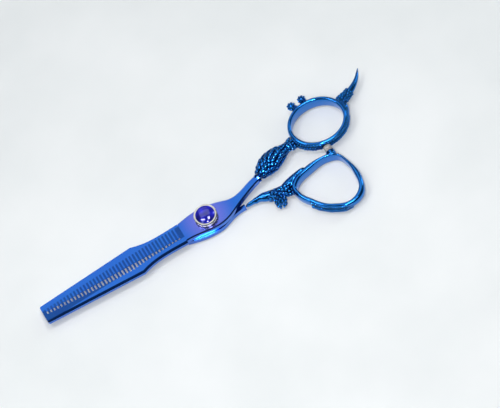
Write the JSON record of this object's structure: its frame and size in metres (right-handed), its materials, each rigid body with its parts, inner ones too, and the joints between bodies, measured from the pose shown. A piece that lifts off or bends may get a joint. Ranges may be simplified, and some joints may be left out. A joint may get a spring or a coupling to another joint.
{
  "type": "thinning shears",
  "caption": "Hair thinning shears: a toothed blade and a plain blade on a dial screw, with scaled cast ring handles, a curved finger rest and a soft stop.",
  "frame": {"origin": "on the pivot axis, in the plane of the pivot nut's flat back face, with the shears closed", "axes": "+X from the pivot to the handles along the blades, +Y to the finger ring's side, +Z out of the dial's face"},
  "size_m": [0.1683, 0.0563, 0.0099],
  "materials": {
    "blue_blade_steel": "mirror-ground stainless steel with a blue vapour-deposited coating",
    "blue_cast_steel": "polished cast stainless steel with a blue vapour-deposited coating",
    "polished_silver": "polished nickel-plated steel",
    "cobalt_glass": "foil-backed domed glass stone",
    "turned_steel": "turned stainless steel",
    "spring_steel": "tempered spring steel",
    "bearing_bronze": "turned bearing bronze",
    "slip_polymer": "slip polymer sheet",
    "grey_silicone": "moulded pale silicone rubber"
  },
  "bodies": {
    "finger_half": {"toothed_blade": "blue_blade_steel", "pivot_bushing": "bearing_bronze", "head_washer": "slip_polymer", "spring_washer": "spring_steel", "finger_collar": "blue_blade_steel", "finger_handle": "blue_cast_steel", "finger_rest": "blue_cast_steel"},
    "thumb_half": {"smooth_blade": "blue_blade_steel", "pivot_nut": "turned_steel", "ride_washer": "slip_polymer", "thumb_handle": "blue_cast_steel", "bumper_pad": "grey_silicone"},
    "tension_screw": {"pivot_screw": "turned_steel", "dial_bezel": "polished_silver", "dial_stone": "cobalt_glass"}
  },
  "joints": [
    {"name": "blade_pivot", "type": "hinge", "parent": "finger_half", "child": "thumb_half", "pos_m": [0, 0, 0], "axis": [0, 0, -1], "range_deg": [0, 90]},
    {"name": "tension_turn", "type": "hinge", "parent": "thumb_half", "child": "tension_screw", "pos_m": [0, 0, 0], "axis": [0, 0, 1], "range_deg": [-90, 90]}
  ]
}
